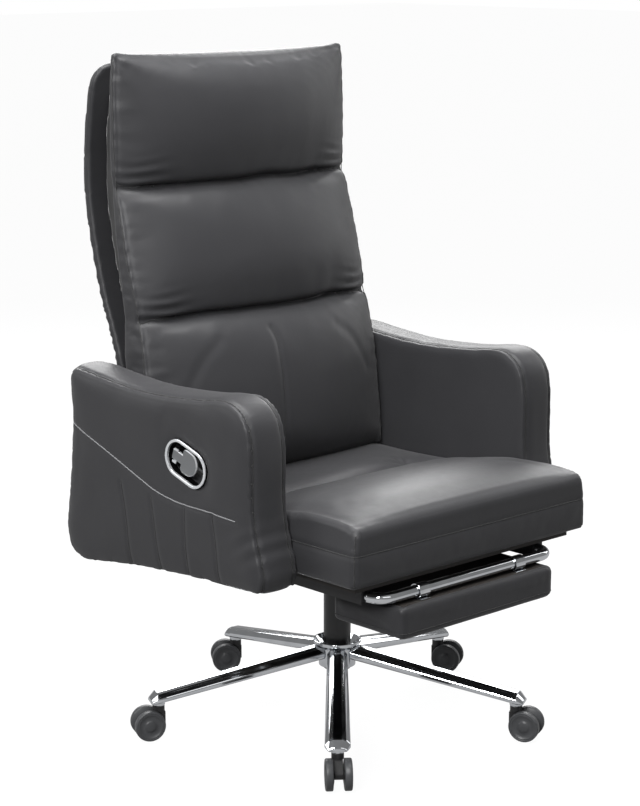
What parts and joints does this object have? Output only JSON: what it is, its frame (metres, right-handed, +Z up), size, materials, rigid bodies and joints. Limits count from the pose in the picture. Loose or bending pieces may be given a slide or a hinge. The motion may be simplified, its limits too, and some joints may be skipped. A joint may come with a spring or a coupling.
{
  "type": "reclining office chair",
  "caption": "Reclining office chair with padded arms, a puffed high back, a swivel star base on casters and a padded footrest that slides out from under the seat and flips over.",
  "frame": {"origin": "middle of the footprint on the floor", "axes": "+Z up, the sitter faces -Y and +X is on the sitter's left"},
  "size_m": [0.7566, 0.7512, 1.217],
  "materials": {
    "chrome": "polished",
    "black_steel": "satin",
    "column_paint": "satin",
    "black_plastic": "satin",
    "grey_plastic": "satin",
    "leather": "satin",
    "back_leather": "satin",
    "foam_core": "matte",
    "plywood": "matte"
  },
  "bodies": {
    "base": {"base_hub": "chrome", "base_leg_1": "chrome", "base_leg_2": "chrome", "base_leg_3": "chrome", "base_leg_4": "chrome", "base_leg_5": "chrome", "caster_stem_1": "black_steel", "caster_stem_2": "black_steel", "caster_stem_3": "black_steel", "caster_stem_4": "black_steel", "caster_stem_5": "black_steel", "gas_column": "column_paint"},
    "caster_1": {"caster_housing_1": "black_plastic", "caster_axle_1": "black_steel"},
    "wheel_1a": {"caster_wheel_1a": "grey_plastic"},
    "wheel_1b": {"caster_wheel_1b": "grey_plastic"},
    "caster_2": {"caster_housing_2": "black_plastic", "caster_axle_2": "black_steel"},
    "wheel_2a": {"caster_wheel_2a": "grey_plastic"},
    "wheel_2b": {"caster_wheel_2b": "grey_plastic"},
    "caster_3": {"caster_housing_3": "black_plastic", "caster_axle_3": "black_steel"},
    "wheel_3a": {"caster_wheel_3a": "grey_plastic"},
    "wheel_3b": {"caster_wheel_3b": "grey_plastic"},
    "caster_4": {"caster_housing_4": "black_plastic", "caster_axle_4": "black_steel"},
    "wheel_4a": {"caster_wheel_4a": "grey_plastic"},
    "wheel_4b": {"caster_wheel_4b": "grey_plastic"},
    "caster_5": {"caster_housing_5": "black_plastic", "caster_axle_5": "black_steel"},
    "wheel_5a": {"caster_wheel_5a": "grey_plastic"},
    "wheel_5b": {"caster_wheel_5b": "grey_plastic"},
    "lift": {"gas_piston": "chrome"},
    "seat": {"mechanism_plate": "black_steel", "seat_board": "plywood", "seat_cushion": "leather", "arm_pad_right": "leather", "arm_pad_left": "leather", "arm_bracket_right": "black_steel", "arm_bracket_left": "black_steel", "handle_bezel": "chrome", "hinge_bracket_right": "black_steel", "hinge_bracket_left": "black_steel", "strut_barrel": "black_steel", "footrest_guide_right": "black_plastic", "footrest_guide_left": "black_plastic"},
    "height_lever": {"height_lever": "black_plastic"},
    "recline_handle": {"recline_handle": "grey_plastic"},
    "back": {"back_cushion": "leather", "back_core": "foam_core", "back_shell": "back_leather", "hinge_bar_right": "black_steel", "hinge_bar_left": "black_steel", "recline_shaft": "black_steel"},
    "strut_rod": {"strut_rod": "chrome"},
    "footrest_slide": {"footrest_frame": "chrome"},
    "footrest_flip": {"footrest_pad": "leather", "footrest_board": "plywood", "footrest_clip_right": "chrome", "footrest_clip_left": "chrome"}
  },
  "joints": [
    {"name": "caster_1_swivel", "type": "hinge", "parent": "base", "child": "caster_1", "pos_m": [-0.23214, -0.26504, 0.061], "axis": [0, 0, 1], "continuous": true},
    {"name": "wheel_1a_roll", "type": "hinge", "parent": "caster_1", "child": "wheel_1a", "pos_m": [-0.24472, -0.28058, 0.028], "axis": [0.7771, -0.6293, 0], "continuous": true},
    {"name": "wheel_1b_roll", "type": "hinge", "parent": "caster_1", "child": "wheel_1b", "pos_m": [-0.24472, -0.28058, 0.028], "axis": [0.7771, -0.6293, 0], "continuous": true},
    {"name": "caster_2_swivel", "type": "hinge", "parent": "base", "child": "caster_2", "pos_m": [0.16432, -0.31582, 0.061], "axis": [0, 0, 1], "continuous": true},
    {"name": "wheel_2a_roll", "type": "hinge", "parent": "caster_2", "child": "wheel_2a", "pos_m": [0.17277, -0.33395, 0.028], "axis": [0.9063, 0.4226, 0], "continuous": true},
    {"name": "wheel_2b_roll", "type": "hinge", "parent": "caster_2", "child": "wheel_2b", "pos_m": [0.17277, -0.33395, 0.028], "axis": [0.9063, 0.4226, 0], "continuous": true},
    {"name": "caster_3_swivel", "type": "hinge", "parent": "base", "child": "caster_3", "pos_m": [0.33513, 0.04553, 0.061], "axis": [0, 0, 1], "continuous": true},
    {"name": "wheel_3a_roll", "type": "hinge", "parent": "caster_3", "child": "wheel_3a", "pos_m": [0.34513, 0.02821, 0.028], "axis": [0.866, 0.5, 0], "continuous": true},
    {"name": "wheel_3b_roll", "type": "hinge", "parent": "caster_3", "child": "wheel_3b", "pos_m": [0.34513, 0.02821, 0.028], "axis": [0.866, 0.5, 0], "continuous": true},
    {"name": "caster_4_swivel", "type": "hinge", "parent": "base", "child": "caster_4", "pos_m": [0.04424, 0.31965, 0.061], "axis": [0, 0, 1], "continuous": true},
    {"name": "wheel_4a_roll", "type": "hinge", "parent": "caster_4", "child": "wheel_4a", "pos_m": [0.02786, 0.33112, 0.028], "axis": [-0.5736, -0.8192, 0], "continuous": true},
    {"name": "wheel_4b_roll", "type": "hinge", "parent": "caster_4", "child": "wheel_4b", "pos_m": [0.02786, 0.33112, 0.028], "axis": [-0.5736, -0.8192, 0], "continuous": true},
    {"name": "caster_5_swivel", "type": "hinge", "parent": "base", "child": "caster_5", "pos_m": [-0.30634, 0.12771, 0.061], "axis": [0, 0, 1], "continuous": true},
    {"name": "wheel_5a_roll", "type": "hinge", "parent": "caster_5", "child": "wheel_5a", "pos_m": [-0.32462, 0.13584, 0.028], "axis": [-0.4067, -0.9135, 0], "continuous": true},
    {"name": "wheel_5b_roll", "type": "hinge", "parent": "caster_5", "child": "wheel_5b", "pos_m": [-0.32462, 0.13584, 0.028], "axis": [-0.4067, -0.9135, 0], "continuous": true},
    {"name": "seat_lift", "type": "slide", "parent": "base", "child": "lift", "axis": [0, 0, 1], "range_m": [0, 0.08]},
    {"name": "seat_swivel", "type": "hinge", "parent": "lift", "child": "seat", "pos_m": [0.00104, -0.01759, 0.352], "axis": [0, 0, 1], "continuous": true},
    {"name": "height_lever_lift", "type": "hinge", "parent": "seat", "child": "height_lever", "pos_m": [-0.04396, 0.04441, 0.3464], "axis": [0, 1, 0], "range_deg": [0, 5]},
    {"name": "recline_handle_pull", "type": "hinge", "parent": "seat", "child": "recline_handle", "pos_m": [-0.37096, -0.01433, 0.55947], "axis": [0, 0.3057, -0.9521], "range_deg": [0, 30], "stiffness_Nm_per_rad": 0.3},
    {"name": "recline", "type": "hinge", "parent": "seat", "child": "back", "pos_m": [0.00104, 0.22241, 0.4], "axis": [-1, 0, 0], "range_deg": [0, 40]},
    {"name": "recline_strut_slide", "type": "slide", "parent": "seat", "child": "strut_rod", "axis": [0, -1, 0], "range_m": [0, 0.035]},
    {"name": "footrest_slide", "type": "slide", "parent": "seat", "child": "footrest_slide", "axis": [0, -1, 0], "range_m": [0, 0.28]},
    {"name": "footrest_flip", "type": "hinge", "parent": "footrest_slide", "child": "footrest_flip", "pos_m": [0.00104, -0.34759, 0.344], "axis": [-1, 0, 0], "range_deg": [0, 180]}
  ],
  "couplings": [
    {"joint": "recline_strut_slide", "follows": "recline", "m_per_rad": 0.049},
    {"joint": "footrest_flip", "follows": "footrest_slide", "rad_per_m": 11.2}
  ]
}
